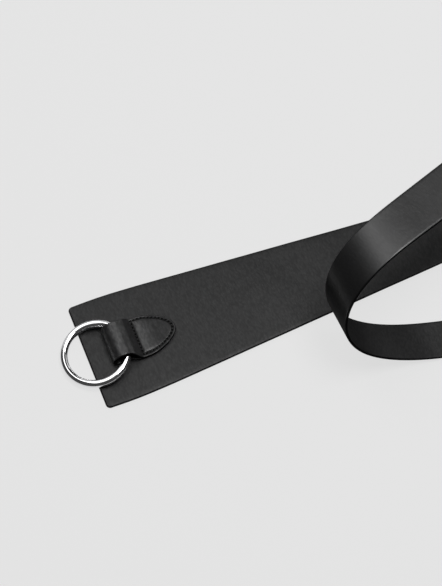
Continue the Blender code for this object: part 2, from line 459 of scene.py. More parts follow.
class StudioSettings(PropertyGroup):
    """The floor, the lights and the camera."""

    floor_colour: FloatVectorProperty(
        name="Floor colour",
        description="Colour of the plain floor",
        default=(0.12, 0.12, 0.12),
        size=3,
        subtype="COLOR",
    )
    floor_glow: FloatProperty(
        name="Floor glow",
        description="Light that the floor gives by itself, which keeps the shadows pale",
        default=0.69,
    )
    floor_size: FloatProperty(
        name="Floor size",
        description="Radius of the round floor",
        default=0.55,
        unit="LENGTH",
        subtype="DISTANCE",
    )
    backdrop_size: FloatProperty(
        name="Backdrop size",
        description="Radius of the dome behind the floor",
        default=3.0,
        unit="LENGTH",
        subtype="DISTANCE",
    )
    backdrop: FloatProperty(
        name="Backdrop",
        description="Brightness of the pale backdrop behind the floor",
        default=0.76,
    )
    card_size: FloatProperty(
        name="Card size",
        description="Radius of the pale card under the ring",
        default=0.075,
        unit="LENGTH",
        subtype="DISTANCE",
    )
    sky: FloatProperty(
        name="Surrounding light",
        description="Strength of the even light from all round",
        default=0.06,
    )
    softbox_power: FloatProperty(
        name="Softbox power",
        description="Power of the softbox above the belt",
        default=8.2,
        unit="POWER",
    )
    camera_azimuth: FloatProperty(
        name="Camera azimuth",
        description="Where the camera stands round the belt",
        default=math.radians(-21.78),
        subtype="ANGLE",
    )
    camera_elevation: FloatProperty(
        name="Camera elevation",
        description="Angle of the camera above the floor",
        default=math.radians(64.0),
        subtype="ANGLE",
    )
    camera_distance: FloatProperty(
        name="Camera distance",
        description="Distance from the camera to the point that it looks at",
        default=1.2,
        unit="LENGTH",
        subtype="DISTANCE",
    )
    camera_lens: FloatProperty(
        name="Camera lens",
        description="Focal length in millimetres",
        default=107.85,
        unit="CAMERA",
    )


class BeltSettings(PropertyGroup):
    """Everything that a user would change on the belt."""

    strap: PointerProperty(type=StrapSettings, name="Strap", description="The strap")
    keeper: PointerProperty(type=KeeperSettings, name="Keeper", description="The keeper")
    ring: PointerProperty(type=RingSettings, name="Ring", description="The ring")
    studio: PointerProperty(type=StudioSettings, name="Studio", description="The studio")


def turn_about(axis, angle):
    """The matrix that turns a vector about a unit axis: the identity, plus the sine times the axis's
    cross matrix, plus one less the cosine times that matrix squared."""
    x, y, z = axis
    cross = np.array([[0.0, -z, y], [z, 0.0, -x], [-y, x, 0.0]])
    return np.eye(3) + math.sin(angle) * cross + (1.0 - math.cos(angle)) * cross @ cross


def follow_strap(start, axes, table, length):
    """Lay the strap's middle line from a start point: each step turns the three axes (along, face,
    across) about the slanted line that the leather bends along, by the curl times the step."""
    steps = max(2, round(length / PATH_STEP))
    edges = np.linspace(0.0, length, steps + 1)
    middles = (edges[1:] + edges[:-1]) / 2
    at, curl, slant = np.array(table).T
    curls = np.radians(np.interp(middles, at, curl)) * 100.0
    slants = np.radians(np.interp(middles, at, slant))
    points = [np.array(start, float)]
    frames = [np.array(axes, float)]
    for curl_here, slant_here in zip(curls, slants):
        along, _, across = frames[-1]
        line = math.cos(slant_here) * across + math.sin(slant_here) * along
        turned = frames[-1] @ turn_about(line, curl_here * length / steps).T
        points.append(points[-1] + (along + turned[0]) * length / steps / 2)
        frames.append(turned)
    return edges, np.array(points), np.array(frames)


def tail_start(thickness):
    """The tip of the tail on the floor, and the strap's axes there."""
    angle = math.radians(TAIL_ANGLE)
    outward = np.array([math.cos(angle), math.sin(angle), 0.0])
    face = np.array([0.0, 0.0, 1.0])
    leaves = np.array([wide_end_x() + TAIL_LEAVES[0], TAIL_LEAVES[1], thickness / 2])
    point = leaves + outward * TAIL_FLAT
    return point, np.array([-outward, face, np.cross(-outward, face)])


def far_turn_rows(unknowns):
    """The far turn's table with the unknowns added: the curls, then some evenly spaced slants."""
    share, curl, slant = np.array(FAR_TURN_TABLE).T
    curl = curl + np.concatenate([[0.0], unknowns[:CURL_UNKNOWNS], [0.0]])
    slant = slant + np.interp(share, np.linspace(0.0, 1.0, SLANT_UNKNOWNS), unknowns[CURL_UNKNOWNS:])
    return np.stack([share * FAR_TURN_LENGTH, curl, slant], axis=1)


def settle_far_turn(start, axes, thickness):
    """Correct the far turn by Newton steps until the strap comes down flat and straight on the X axis."""

    def misfit(unknowns):
        _, points, frames = follow_strap(start, axes, far_turn_rows(unknowns), FAR_TURN_LENGTH)
        along, face, _ = frames[-1]
        height = points[-1][2] - thickness / 2
        offset = points[-1][1]
        return np.array([height * PLACE_WEIGHT, offset * PLACE_WEIGHT, along[2], along[1], face[1]])

    weights = np.array([1.0] * CURL_UNKNOWNS + [SLANT_WEIGHT] * SLANT_UNKNOWNS)
    unknowns = np.zeros(len(weights))
    for _ in range(NEWTON_STEPS):
        now = misfit(unknowns)
        slopes = [(misfit(unknowns + NUDGE * step) - now) / NUDGE for step in np.eye(len(weights))]
        slopes = np.array(slopes).T * weights
        unknowns = unknowns - weights * np.linalg.lstsq(slopes, now, rcond=None)[0]
    return far_turn_rows(unknowns)


def strap_path(thickness):
    """Distances, points, axes and leans down the strap's middle, from the tail's tip to the wide end.
    A lean is the tangent of the slant."""
    point, axes = tail_start(thickness)
    near = follow_strap(point, axes, CURL_TABLE, FAR_TURN_START)
    turn_rows = settle_far_turn(near[1][-1], near[2][-1], thickness)
    turn = follow_strap(near[1][-1], near[2][-1], turn_rows, FAR_TURN_LENGTH)
    flat_rows = [(0.0, 0.0, turn_rows[-1][2]), (SLANT_FADE, 0.0, 0.0)]
    flat = follow_strap(turn[1][-1], turn[2][-1], flat_rows, WIDE_FLAT)

    starts = [0.0, FAR_TURN_START, FAR_TURN_START + FAR_TURN_LENGTH]
    runs = [near, turn, flat]
    rows = [np.array(table) for table in (CURL_TABLE, turn_rows, flat_rows)]
    keep = [slice(None), slice(1, None), slice(1, None)]
    distances = np.concatenate([start + run[0][part] for start, run, part in zip(starts, runs, keep)])
    points = np.concatenate([run[1][part] for run, part in zip(runs, keep)])
    frames = np.concatenate([run[2][part] for run, part in zip(runs, keep)])
    slant_at = np.concatenate([start + table[:, 0] for start, table in zip(starts, rows)])
    slants = np.interp(distances, slant_at, np.concatenate([table[:, 2] for table in rows]))
    return distances, points, frames, np.tan(np.radians(slants))


def between(distances, values, at):
    """Values between the path's points, on the smooth cubic that meets each point with the slope found
    from its neighbours."""
    slopes = np.gradient(values, distances, axis=0)
    k = np.clip(np.searchsorted(distances, at) - 1, 0, len(distances) - 2)
    shape = np.shape(at) + (1,) * (values.ndim - 1)
    step = (distances[k + 1] - distances[k]).reshape(shape)
    t = (at - distances[k]).reshape(shape) / step
    kept = (1 + 2 * t) * (1 - t) ** 2 * values[k] + t**2 * (3 - 2 * t) * values[k + 1]
    return kept + step * (t * (1 - t) ** 2 * slopes[k] - t**2 * (1 - t) * slopes[k + 1])


def strap_width(from_wide_end):
    """The strap's width, with the table's corners softened by averaging."""
    at, width = np.array(WIDTH_TABLE).T
    spread = np.linspace(-WIDTH_SOFTENING, WIDTH_SOFTENING, 5)
    return np.mean([np.interp(from_wide_end + offset, at, width) for offset in spread], axis=0)


def corner_cut(from_end, radius):
    """How far a round corner takes the edge in, at a distance from the strap's end."""
    inside = np.clip(radius - from_end, 0.0, radius)
    return radius - np.sqrt(radius**2 - inside**2)


def signed_volume(points, quads):
    """Six times the volume inside a closed mesh of quads, below zero if its faces point inwards."""
    a, b, c, d = (points[quads[:, k]] for k in range(4))
    return np.einsum("ij,ij->", a, np.cross(b, c)) + np.einsum("ij,ij->", a, np.cross(c, d))


def leather_object(name, along, half, columns, edge, thickness, place, material, hollow=None):
    """A closed sheet of leather. Its face is a grid of points (along, across), where across runs evenly
    from minus to plus the half width, laid half the thickness above and below its middle. Round its
    border runs half an ellipse: outward by the edge rounding times the sine of an angle, and up by half
    the thickness times its cosine. place(along, across, up) gives each point its place, and the optional
    last function, given the same, its painted shade and dullness from 0 to 1, shown as less shine."""
    count = columns + 1
    x = np.repeat(along[:, None], count, axis=1)
    y = half[:, None] * np.linspace(-1.0, 1.0, count)
    number = np.arange(x.size).reshape(x.shape)
    border = np.concatenate([number[:, 0], number[-1, 1:], number[-2::-1, -1], number[0, -2:0:-1]])
    bx, by = x.ravel()[border], y.ravel()[border]
    tx, ty = np.roll(bx, -1) - np.roll(bx, 1), np.roll(by, -1) - np.roll(by, 1)
    size = np.hypot(tx, ty)
    angle = np.linspace(0.0, math.pi, EDGE_ROWS + 1)[1:-1, None]
    ex = bx + edge * np.sin(angle) * ty / size
    ey = by - edge * np.sin(angle) * tx / size
    ez = np.broadcast_to(np.cos(angle), ex.shape)

    flat_x = np.concatenate([x.ravel(), x.ravel(), ex.ravel()])
    flat_y = np.concatenate([y.ravel(), y.ravel(), ey.ravel()])
    up = np.concatenate([np.ones(x.size), -np.ones(x.size), ez.ravel()])
    # The edge's weight: its paint's darker colour, and painted shade on it as less shine
    edge_paint_and_shade_weight = np.concatenate([np.zeros(2 * x.size), np.broadcast_to(np.sin(angle), ex.shape).ravel()])
    points = place(flat_x, flat_y, up * thickness / 2)

    first = number[:-1, :-1], number[1:, :-1], number[1:, 1:], number[:-1, 1:]
    top = np.stack([corner.ravel() for corner in first], axis=1)
    under = top[:, ::-1] + x.size
    rows = np.vstack([border, 2 * x.size + np.arange(ex.size).reshape(ex.shape), border + x.size])
    ahead = np.roll(rows, -1, axis=1)
    sides = np.stack([ahead[:-1], rows[:-1], rows[1:], ahead[1:]], axis=-1).reshape(-1, 4)
    quads = np.concatenate([top, under, sides])
    if signed_volume(points, quads) < 0:
        quads = quads[:, ::-1]

    attributes = {"edge_paint_and_shade": edge_paint_and_shade_weight, "face_side": up, "hollow": np.zeros(len(up))}
    if hollow:
        attributes["hollow"] = hollow(flat_x, flat_y, up)
    return mesh_object(name, points, quads, np.stack([flat_x, flat_y], axis=1), attributes, material)


def mesh_object(name, points, faces, flat, attributes, material):
    """An object from its points and faces, with its flat points as UV map and an attribute for each
    name."""
    mesh = bpy.data.meshes.new(name)
    mesh.from_pydata(points.tolist(), [], faces.tolist() if isinstance(faces, np.ndarray) else faces)
    mesh.polygons.foreach_set("use_smooth", np.ones(len(mesh.polygons), bool))
    corners = np.empty(len(mesh.loops), np.int32)
    mesh.loops.foreach_get("vertex_index", corners)
    uv = mesh.uv_layers.new(name="along_and_across")
    uv.data.foreach_set("uv", flat[corners].astype(np.float32).ravel())
    for label, values in attributes.items():
        attribute = mesh.attributes.new(label, "FLOAT", "POINT")
        attribute.data.foreach_set("value", values.astype(np.float32))
    mesh.materials.append(material)
    mesh.update()
    made = bpy.data.objects.new(name, mesh)
    bpy.context.scene.collection.objects.link(made)
    return made


def strap_stations(settings):
    """Distances from the tail at which the strap's mesh has a section, closer together at its corners."""
    corner = np.linspace(0.0, 1.0, CORNER_ROWS) ** 2
    tail = settings.edge + (settings.tail_corner - settings.edge) * corner
    wide = STRAP_LENGTH - settings.edge - (settings.wide_corner - settings.edge) * corner
    count = round((wide[-1] - tail[-1]) / settings.station_step)
    middle = np.linspace(tail[-1], wide[-1], count + 1)
    return np.unique(np.concatenate([tail, middle, wide]).round(8))


def make_strap(settings):
    """The strap's leather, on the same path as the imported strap. A flat point (along, across) lies on the
    bend line whose place on the middle line is along less across times the lean there, found by repeated
    substitution; then it is the middle line's point, plus across times (the across axis plus the lean
    times the along axis), plus up times the face axis."""
    distances, points, frames, leans = strap_path(settings.thickness)

    def place(along, across, up):
        at = along
        for _ in range(BEND_LINE_STEPS):
            at = along - across * np.interp(at, distances, leans)
        axes = between(distances, frames, at)
        middle = between(distances, points, at)
        axes = axes / np.linalg.norm(axes, axis=2, keepdims=True)
        lean = np.interp(at, distances, leans)[:, None]
        free = np.clip((STRAP_LENGTH - WAVE_END - along) / WAVE_FADE, 0.0, 1.0)
        waves = [np.sin(along * turn + across * cross_turn + start) for turn, cross_turn, start in WAVES]
        lift = settings.wave * free * (sum(waves) + len(WAVES)) / 2
        line = axes[:, 2] + lean * axes[:, 0]
        return middle + across[:, None] * line + (up + lift)[:, None] * axes[:, 1]

    along = strap_stations(settings)
    half = strap_width(STRAP_LENGTH - along) / 2 - settings.edge
    half = half - corner_cut(along - settings.edge, settings.tail_corner - settings.edge)
    from_end = STRAP_LENGTH - along - settings.edge
    half = half - corner_cut(from_end, settings.wide_corner - settings.edge)
    leather = leather_material("strap_leather_finish", settings.colour, settings.edge_colour, **STRAP_FINISH)
    return leather_object(
        "belt_strap", along, half, settings.columns, settings.edge, settings.thickness, place, leather
    )


def running_sum(start, slopes, step):
    """A start value plus the running sum of the mean of each two slopes times the step."""
    return start + np.concatenate([[0.0], np.cumsum(slopes[:-1] + slopes[1:])]) * step / 2


def keeper_line(settings):
    """The line that the keeper's leather follows from the side: distances, places (along, up) and
    headings. Its corners are rounded: the heading turns evenly along an arc of the corner's radius, and
    the places are the running sum of the heading's cosine and sine."""
    low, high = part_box("ring_tab")
    base = low.z
    top = high.z - base - settings.ply / 2
    reach = {
        "tip": high.x,
        "nose": low.x + settings.ply / 2,
        "shoulder": wide_end_x() + settings.shoulder - settings.ply / 2,
        "foot": wide_end_x() + settings.throat - settings.ply * FOOT_BACK,
    }
    x = np.array([reach[along] for along, _, _ in KEEPER_LINE])
    z = base + np.array([top if up == "top" else up * settings.ply for _, up, _ in KEEPER_LINE])
    radius = np.array([row[2] for row in KEEPER_LINE[1:-1]])
    heading = np.unwrap(np.arctan2(np.diff(z), np.diff(x)))
    turn = np.diff(heading)
    cut = np.concatenate([[0.0], radius * np.tan(np.abs(turn) / 2), [0.0]])
    straight = np.hypot(np.diff(x), np.diff(z)) - cut[:-1] - cut[1:]
    lengths = np.zeros(2 * len(straight) - 1)
    lengths[::2] = straight
    lengths[1::2] = radius * np.abs(turn)
    at = np.concatenate([[0.0], np.cumsum(lengths)])
    distances = np.arange(0.0, at[-1], KEEPER_LINE_STEP)
    headings = np.interp(distances, at, np.repeat(heading, 2))
    line_x = running_sum(x[0], np.cos(headings), KEEPER_LINE_STEP)
    line_z = running_sum(z[0], np.sin(headings), KEEPER_LINE_STEP)
    return distances, np.stack([line_x, line_z], axis=1), headings


def keeper_half(settings, x, inset):
    """Half the keeper's width at a place along X, drawn in by inset: the loop's half width, a smooth
    flare to the sewn part's, and a point whose outline is a rounded arch: one less the share of the way
    to the tip, raised to the inner power, and the whole raised to the outer power."""
    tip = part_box("ring_tab")[1].x - inset
    start = wide_end_x() + settings.point_start
    flare = np.clip((x - wide_end_x() - FLARE_START) / FLARE_LENGTH, 0.0, 1.0)
    flare = flare * flare * (3 - 2 * flare)
    half = settings.nose_half + (settings.half - settings.nose_half) * flare - inset
    share = np.clip((x - start) / (tip - start), 0.0, 1.0)
    return half * (1 - share**ARCH_INNER_POWER) ** ARCH_OUTER_POWER


def stitch_curve(settings):
    """The line of the stitches round the sewn part, seen from above, from one end of the stitch line
    round the point to the other, and the stitch line itself; each as points close together."""
    start = wide_end_x() + settings.stitch_line
    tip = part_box("ring_tab")[1].x - settings.stitch_inset
    turn = np.linspace(0.0, math.pi, AROUND_POINTS)
    x = start + (tip - start) * np.sin(turn)
    y = np.sign(np.cos(turn)) * keeper_half(settings, x, settings.stitch_inset)
    around = np.stack([x, y], axis=1)
    half = keeper_half(settings, np.array([start]), settings.stitch_inset)[0]
    y = np.linspace(-half, half, ACROSS_POINTS)
    across = np.stack([np.full(ACROSS_POINTS, start), y], axis=1)
    return around, across


def even_steps(line, pitch):
    """Middles, directions and ends of even steps along a line of points, at about a pitch."""
    distances = np.concatenate([[0.0], np.cumsum(np.linalg.norm(np.diff(line, axis=0), axis=1))])
    count = round(distances[-1] / pitch)
    ends = between(distances, line, np.linspace(0.0, distances[-1], count + 1))
    direction = np.diff(ends, axis=0)
    return (ends[1:] + ends[:-1]) / 2, direction / np.linalg.norm(direction, axis=1)[:, None], ends


def nearest(points, line):
    """The distance from each point to the nearest of a line's points."""
    found = np.full(len(points), np.inf)
    for part in np.array_split(line, max(1, len(line) // NEAREST_BATCH)):
        gaps = np.hypot(points[:, None, 0] - part[:, 0], points[:, None, 1] - part[:, 1])
        found = np.minimum(found, gaps.min(axis=1))
    return found


def bell(distance, width, power=2):
    """A bell curve: one over e to the power of the distance in widths, itself raised to a power."""
    return np.exp(-((distance / width) ** power))


def keeper_relief(settings, x, y):
    """How far the keeper's upper face stands up at a place from above, and its painted shade: a puff
    inside the stitches that rises with the distance from them, less a groove and a hole at each
    stitch's end, all bell curves, with painted shade in the groove and the holes. The border and the
    point take a part of the same value, which makes them duller."""
    around, across = stitch_curve(settings)
    lines = np.concatenate([around[::8], across[::4]])
    spots = np.stack([x, y], axis=1)
    gap = nearest(spots, lines)
    ends = np.concatenate([even_steps(line, settings.stitch_pitch)[2] for line in (around, across)])
    hole = nearest(spots, ends)
    start = wide_end_x() + settings.stitch_line
    inside = (x > start) & (np.abs(y) < keeper_half(settings, x, settings.stitch_inset))
    fullness = PUFF_LEAST + (1 - PUFF_LEAST) * bell(x - start - PUFF_TOP, PUFF_SPREAD)
    puff = settings.puff * fullness * (1 - bell(gap, PUFF_RISE)) * inside
    groove = bell(gap, GROOVE_WIDTH)
    border = (x > start) & ~inside
    point = np.clip((x - start - POINT_SHADE_START) / POINT_SHADE_LENGTH, 0.0, 1.0)
    shades = [
        GROOVE_SHADE * groove,
        bell(hole, HOLE_SHADE_WIDTH, 4),
        POINT_SHADE * point,
        BORDER_SHADE * border,
    ]
    rise = puff - settings.groove * groove - HOLE_DEPTH * bell(hole, HOLE_WIDTH)
    return rise, np.max(shades, axis=0)


def make_keeper(settings):
    """The keeper's leather, folded round the ring: one strip on keeper_line, with its upper face raised
    and drawn in by keeper_relief."""
    distances, line, headings = keeper_line(settings)
    middle_y = (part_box("ring_tab")[0].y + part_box("ring_tab")[1].y) / 2
    sewn_from = distances[np.argmax(line[:, 1])] + SEWN_AFTER_TOP

    def place(along, across, up):
        at = between(distances, line, along)
        heading = np.interp(along, distances, headings)
        relief = np.zeros(len(along))
        sewn = (along > sewn_from) & (up > 0)
        relief[sewn] = keeper_relief(settings, at[sewn, 0], across[sewn])[0]
        rise = (up + relief)[:, None] * np.stack([-np.sin(heading), np.cos(heading)], axis=1)
        x, z = (at + rise).T
        return np.stack([x, across + middle_y, z], axis=1)

    # Painted shade, as less shine, in the stitch groove and holes, and the duller border and point
    def hollow(along, across, up):
        shade = np.zeros(len(along))
        sewn = (along > sewn_from) & (up > 0)
        at = between(distances, line, along[sewn])
        shade[sewn] = keeper_relief(settings, at[:, 0], across[sewn])[1]
        return shade

    end = distances[-1] - settings.edge
    along = np.concatenate(
        [
            settings.edge + LOWER_POINT * np.linspace(0.0, 1.0, LOWER_POINT_ROWS) ** 2,
            np.arange(LOOP_START, sewn_from, LOOP_STEP),
            np.arange(sewn_from, end - UPPER_POINT, SEWN_STEP),
            end - UPPER_POINT * np.linspace(1.0, 0.0, UPPER_POINT_ROWS) ** 2,
        ]
    )
    x = np.interp(along, distances, line[:, 0])
    half = np.maximum(keeper_half(settings, x, settings.edge), SMALLEST_HALF_WIDTH)
    leather = leather_material("keeper_leather_finish", settings.colour, settings.colour, **KEEPER_FINISH)
    return leather_object(
        "ring_keeper", along, half, KEEPER_COLUMNS, settings.edge, settings.ply, place, leather, hollow
    )


def make_stitches(settings):
    """The thread: each stitch is a stretched bead, whose radius follows a rounded arch along it, laid on
    its step of the stitch curve with its ends dipping into the holes."""
    around, across = stitch_curve(settings)
    steps = [even_steps(line, settings.stitch_pitch) for line in (around, across)]
    middles = np.concatenate([step[0] for step in steps])
    ways = np.concatenate([step[1] for step in steps])
    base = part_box("ring_tab")[0].z + 2 * settings.ply
    middle_y = (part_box("ring_tab")[0].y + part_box("ring_tab")[1].y) / 2

    rings, sides = STITCH_RINGS, STITCH_SIDES
    share = np.sin(np.linspace(-1.0, 1.0, rings + 2)[1:-1] * math.pi / 2)
    around_angle = np.linspace(0.0, 2 * math.pi, sides, endpoint=False)
    radius = settings.thread / 2 * (1 - np.abs(share) ** 4) ** 0.5
    half = settings.stitch_pitch * STITCH_HALF
    dip = settings.thread * STITCH_DIP
    long = np.repeat(share * half, sides)
    wide = radius[:, None] * np.cos(around_angle)
    tall = radius[:, None] * np.sin(around_angle) - dip * share[:, None] ** 2
    long = np.concatenate([long, [-half, half]])
    wide = np.concatenate([wide.ravel(), [0.0, 0.0]])
    tall = np.concatenate([tall.ravel(), [-dip, -dip]])

    lay = ways + STITCH_SLANT * np.stack([-ways[:, 1], ways[:, 0]], axis=1)
    side = np.stack([-lay[:, 1], lay[:, 0]], axis=1)
    x = middles[:, 0, None] + long * lay[:, 0, None] + wide * side[:, 0, None]
    y = middles[:, 1, None] + long * lay[:, 1, None] + wide * side[:, 1, None] + middle_y
    z = np.broadcast_to(base - settings.groove * STITCH_SEAT + tall, x.shape)
    points = np.stack([x, y, z], axis=-1).reshape(-1, 3)

    number = np.arange(rings * sides).reshape(rings, sides)
    turned = np.roll(number, -1, axis=1)
    body = np.stack([number[:-1], turned[:-1], turned[1:], number[1:]], axis=-1).reshape(-1, 4)
    first = np.stack([turned[0], number[0], np.full(sides, rings * sides)], axis=1)
    last = np.stack([number[-1], turned[-1], np.full(sides, rings * sides + 1)], axis=1)
    size = rings * sides + 2
    parts = [part + k * size for k in range(len(middles)) for part in (body, first, last)]
    faces = [face for part in parts for face in part.tolist()]
    flat_u = np.concatenate([np.repeat(share, sides), [-1.0, 1.0]])
    flat_v = np.concatenate([np.tile(around_angle / (2 * math.pi), rings), [0.5, 0.5]])
    flat = np.tile(np.stack([flat_u, flat_v], axis=1), (len(middles), 1))
    thread = thread_material("black_thread_finish", settings.thread_colour)
    return mesh_object("keeper_stitches", points, faces, flat, {}, thread)


def make_ring(settings):
    """The ring: a wire of round section whose middle runs on a circle, leaning on the strap's end edge.
    Round the circle by one angle and round the wire by the other."""
    low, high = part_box("ring")
    centre = (low + high) / 2
    outer = (high.y - low.y) / 2
    middle = outer - settings.wire
    count, wire_count = settings.sides, settings.wire_sides
    turn = np.linspace(0.0, 2 * math.pi, count, endpoint=False)[:, None]
    roll = np.linspace(0.0, 2 * math.pi, wire_count, endpoint=False)
    reach = middle + settings.wire * np.cos(roll)
    x, y = reach * np.cos(turn), reach * np.sin(turn)
    z = np.broadcast_to(settings.wire * np.sin(roll), x.shape)
    lean_x = x * math.cos(settings.tilt) - z * math.sin(settings.tilt)
    lean_z = x * math.sin(settings.tilt) + z * math.cos(settings.tilt)
    points = np.stack([lean_x + centre.x, y + centre.y, lean_z + centre.z], axis=-1).reshape(-1, 3)
    number = np.arange(count * wire_count).reshape(count, wire_count)
    ahead = np.roll(number, -1, axis=0)
    quads = np.stack([number, ahead, np.roll(ahead, -1, axis=1), np.roll(number, -1, axis=1)], axis=-1)
    quads = quads.reshape(-1, 4)
    if signed_volume(points, quads) < 0:
        quads = quads[:, ::-1]
    flat = np.stack(np.broadcast_arrays(turn * middle, roll * settings.wire), axis=-1).reshape(-1, 2)
    metal = metal_material("polished_metal_finish", settings.colour)
    return mesh_object("polished_ring", points, quads, flat, {}, metal)


def new_material(name):
    """A material with only its shader, and a function that adds a node with its values set."""
    material = bpy.data.materials.new(name)
    material.use_nodes = True
    tree = material.node_tree
    shader = tree.nodes["Principled BSDF"]

    def add(kind, **values):
        node = tree.nodes.new(kind)
        for key, value in values.items():
            if key in node.inputs:
                node.inputs[key].default_value = value
            else:
                setattr(node, key, value)
        return node

    return material, tree.links.new, shader, add


def leather_material(name, colour, edge_colour, roughness, shine, grain_crease_shade):
    """Smooth black leather: fine grain and creases, longer across the strap than along it, as bump, and as
    painted shade in the creases, given as less shine where the grain's relief stands high; slow changes of
    gloss and colour; a roughness and a shine for the lining and for the face, in that order; painted shade,
    as less shine, in the stitch groove and holes and on the edges, and a duller keeper border and point,
    where the mesh's attributes say so; and the edges' darker paint."""
    material, link, shader, add = new_material(name)
    place = add("ShaderNodeTexCoord")
    grain = add("ShaderNodeTexVoronoi", Scale=850.0, Randomness=1.0, feature="SMOOTH_F1")
    fine = add("ShaderNodeTexNoise", Scale=1500.0, Detail=3.0, Roughness=0.6)
    slow = add("ShaderNodeTexNoise", Scale=22.0, Detail=3.0, Roughness=0.5)
    creases = add("ShaderNodeTexNoise", Scale=330.0, Detail=4.0, Roughness=0.6, Distortion=0.8)
    for texture in (fine, slow):
        link(place.outputs["Object"], texture.inputs["Vector"])
    flat = add("ShaderNodeUVMap", uv_map="along_and_across")
    stretch = add("ShaderNodeMapping")
    stretch.inputs["Scale"].default_value = (1.0, 0.5, 1.0)
    link(flat.outputs["UV"], stretch.inputs["Vector"])
    for texture in (grain, creases):
        link(stretch.outputs["Vector"], texture.inputs["Vector"])

    height = add("ShaderNodeMath", operation="MULTIPLY_ADD")
    height.inputs[1].default_value = 0.5
    link(fine.outputs["Fac"], height.inputs[0])
    link(grain.outputs["Distance"], height.inputs[2])
    relief = add("ShaderNodeMath", operation="MULTIPLY_ADD")
    relief.inputs[1].default_value = 1.2
    link(creases.outputs["Fac"], relief.inputs[0])
    link(height.outputs[0], relief.inputs[2])
    side = add("ShaderNodeAttribute", attribute_name="face_side")
    amount = add_range(add, link, side.outputs["Fac"], -1.0, 1.0, 0.45, 1.0)
    bump = add("ShaderNodeBump", Distance=0.00006)
    link(amount.outputs["Result"], bump.inputs["Strength"])
    link(relief.outputs[0], bump.inputs["Height"])
    link(bump.outputs["Normal"], shader.inputs["Normal"])

    polish = add_range(add, link, side.outputs["Fac"], -1.0, 1.0, *shine)
    # Painted shade in the grain's creases: less shine where the grain's relief stands high
    crease_shade = add_range(add, link, relief.outputs[0], *RELIEF_RANGE, grain_crease_shade, -grain_crease_shade)
    contrast = add("ShaderNodeMath", operation="MULTIPLY_ADD")
    contrast.inputs[2].default_value = 1.0
    link(crease_shade.outputs["Result"], contrast.inputs[0])
    link(amount.outputs["Result"], contrast.inputs[1])
    spread = add("ShaderNodeMath", operation="MULTIPLY")
    link(polish.outputs["Result"], spread.inputs[0])
    link(contrast.outputs[0], spread.inputs[1])
    # Painted shade, as less shine, in the keeper's stitch groove and holes, with its duller border and point
    hollow = add("ShaderNodeAttribute", attribute_name="hollow")
    # The edge: its paint's darker colour, and painted shade on it as less shine
    edge = add("ShaderNodeAttribute", attribute_name="edge_paint_and_shade")
    shut = add("ShaderNodeMath", operation="MAXIMUM")
    link(hollow.outputs["Fac"], shut.inputs[0])
    link(edge.outputs["Fac"], shut.inputs[1])
    left_over = add_range(add, link, shut.outputs[0], 0.0, 1.0, 1.0, 0.10)
    shown = add("ShaderNodeMath", operation="MULTIPLY")
    link(spread.outputs[0], shown.inputs[0])
    link(left_over.outputs["Result"], shown.inputs[1])
    link(shown.outputs[0], shader.inputs["Specular IOR Level"])

    shade = add_range(add, link, slow.outputs["Fac"], *SLOW_RANGE, 0.85, 1.20)
    tone = add("ShaderNodeMix", data_type="RGBA", blend_type="MULTIPLY")
    tone.inputs["Factor"].default_value = 1.0
    tone.inputs[6].default_value = (*colour, 1.0)
    link(shade.outputs["Result"], tone.inputs[7])
    paint = add("ShaderNodeMix", data_type="RGBA")
    link(edge.outputs["Fac"], paint.inputs["Factor"])
    link(tone.outputs[2], paint.inputs[6])
    paint.inputs[7].default_value = (*edge_colour, 1.0)
    link(paint.outputs[2], shader.inputs["Base Color"])

    gloss = add_range(add, link, side.outputs["Fac"], -1.0, 1.0, *roughness)
    change = add_range(add, link, slow.outputs["Fac"], *SLOW_RANGE, -0.04, 0.05)
    total = add("ShaderNodeMath", operation="ADD")
    link(gloss.outputs["Result"], total.inputs[0])
    link(change.outputs["Result"], total.inputs[1])
    link(total.outputs[0], shader.inputs["Roughness"])
    return material


def add_range(add, link, source, low, high, to_low, to_high):
    """A node that maps a source's values between two ends to values between two others."""
    node = add("ShaderNodeMapRange")
    ends = {"From Min": low, "From Max": high, "To Min": to_low, "To Max": to_high}
    for name, value in ends.items():
        node.inputs[name].default_value = value
    link(source, node.inputs["Value"])
    return node


def thread_material(name, colour):
    """Black thread: two strands twisted together, from a wave that runs aslant round each stitch."""
    material, link, shader, add = new_material(name)
    place = add("ShaderNodeUVMap", uv_map="along_and_across")
    turn = add("ShaderNodeMapping")
    turn.inputs["Scale"].default_value = (2.0, 2.0, 1.0)
    link(place.outputs["UV"], turn.inputs["Vector"])
    twist = add("ShaderNodeTexWave", Scale=0.6, bands_direction="DIAGONAL")
    link(turn.outputs["Vector"], twist.inputs["Vector"])
    bump = add("ShaderNodeBump", Strength=0.6, Distance=0.0001)
    link(twist.outputs["Fac"], bump.inputs["Height"])
    link(bump.outputs["Normal"], shader.inputs["Normal"])
    shader.inputs["Base Color"].default_value = (*colour, 1.0)
    shader.inputs["Roughness"].default_value = 0.5
    return material


def metal_material(name, colour):
    """Polished metal, with faint changes of gloss from handling."""
    material, link, shader, add = new_material(name)
    place = add("ShaderNodeTexCoord")
    smudge = add("ShaderNodeTexNoise", Scale=90.0, Detail=4.0)
    link(place.outputs["Object"], smudge.inputs["Vector"])
    gloss = add_range(add, link, smudge.outputs["Fac"], 0.0, 1.0, 0.04, 0.11)
    link(gloss.outputs["Result"], shader.inputs["Roughness"])
    shader.inputs["Base Color"].default_value = (*colour, 1.0)
    shader.inputs["Metallic"].default_value = 1.0
    return material


def floor_material(settings):
    """The plain floor."""
    material, _, shader, _ = new_material("studio_floor_finish")
    shader.inputs["Base Color"].default_value = (*settings.floor_colour, 1.0)
    shader.inputs["Roughness"].default_value = 0.9
    shader.inputs["Specular IOR Level"].default_value = 0.1
    shader.inputs["Emission Color"].default_value = (1.0, 1.0, 1.0, 1.0)
    shader.inputs["Emission Strength"].default_value = settings.floor_glow
    return material


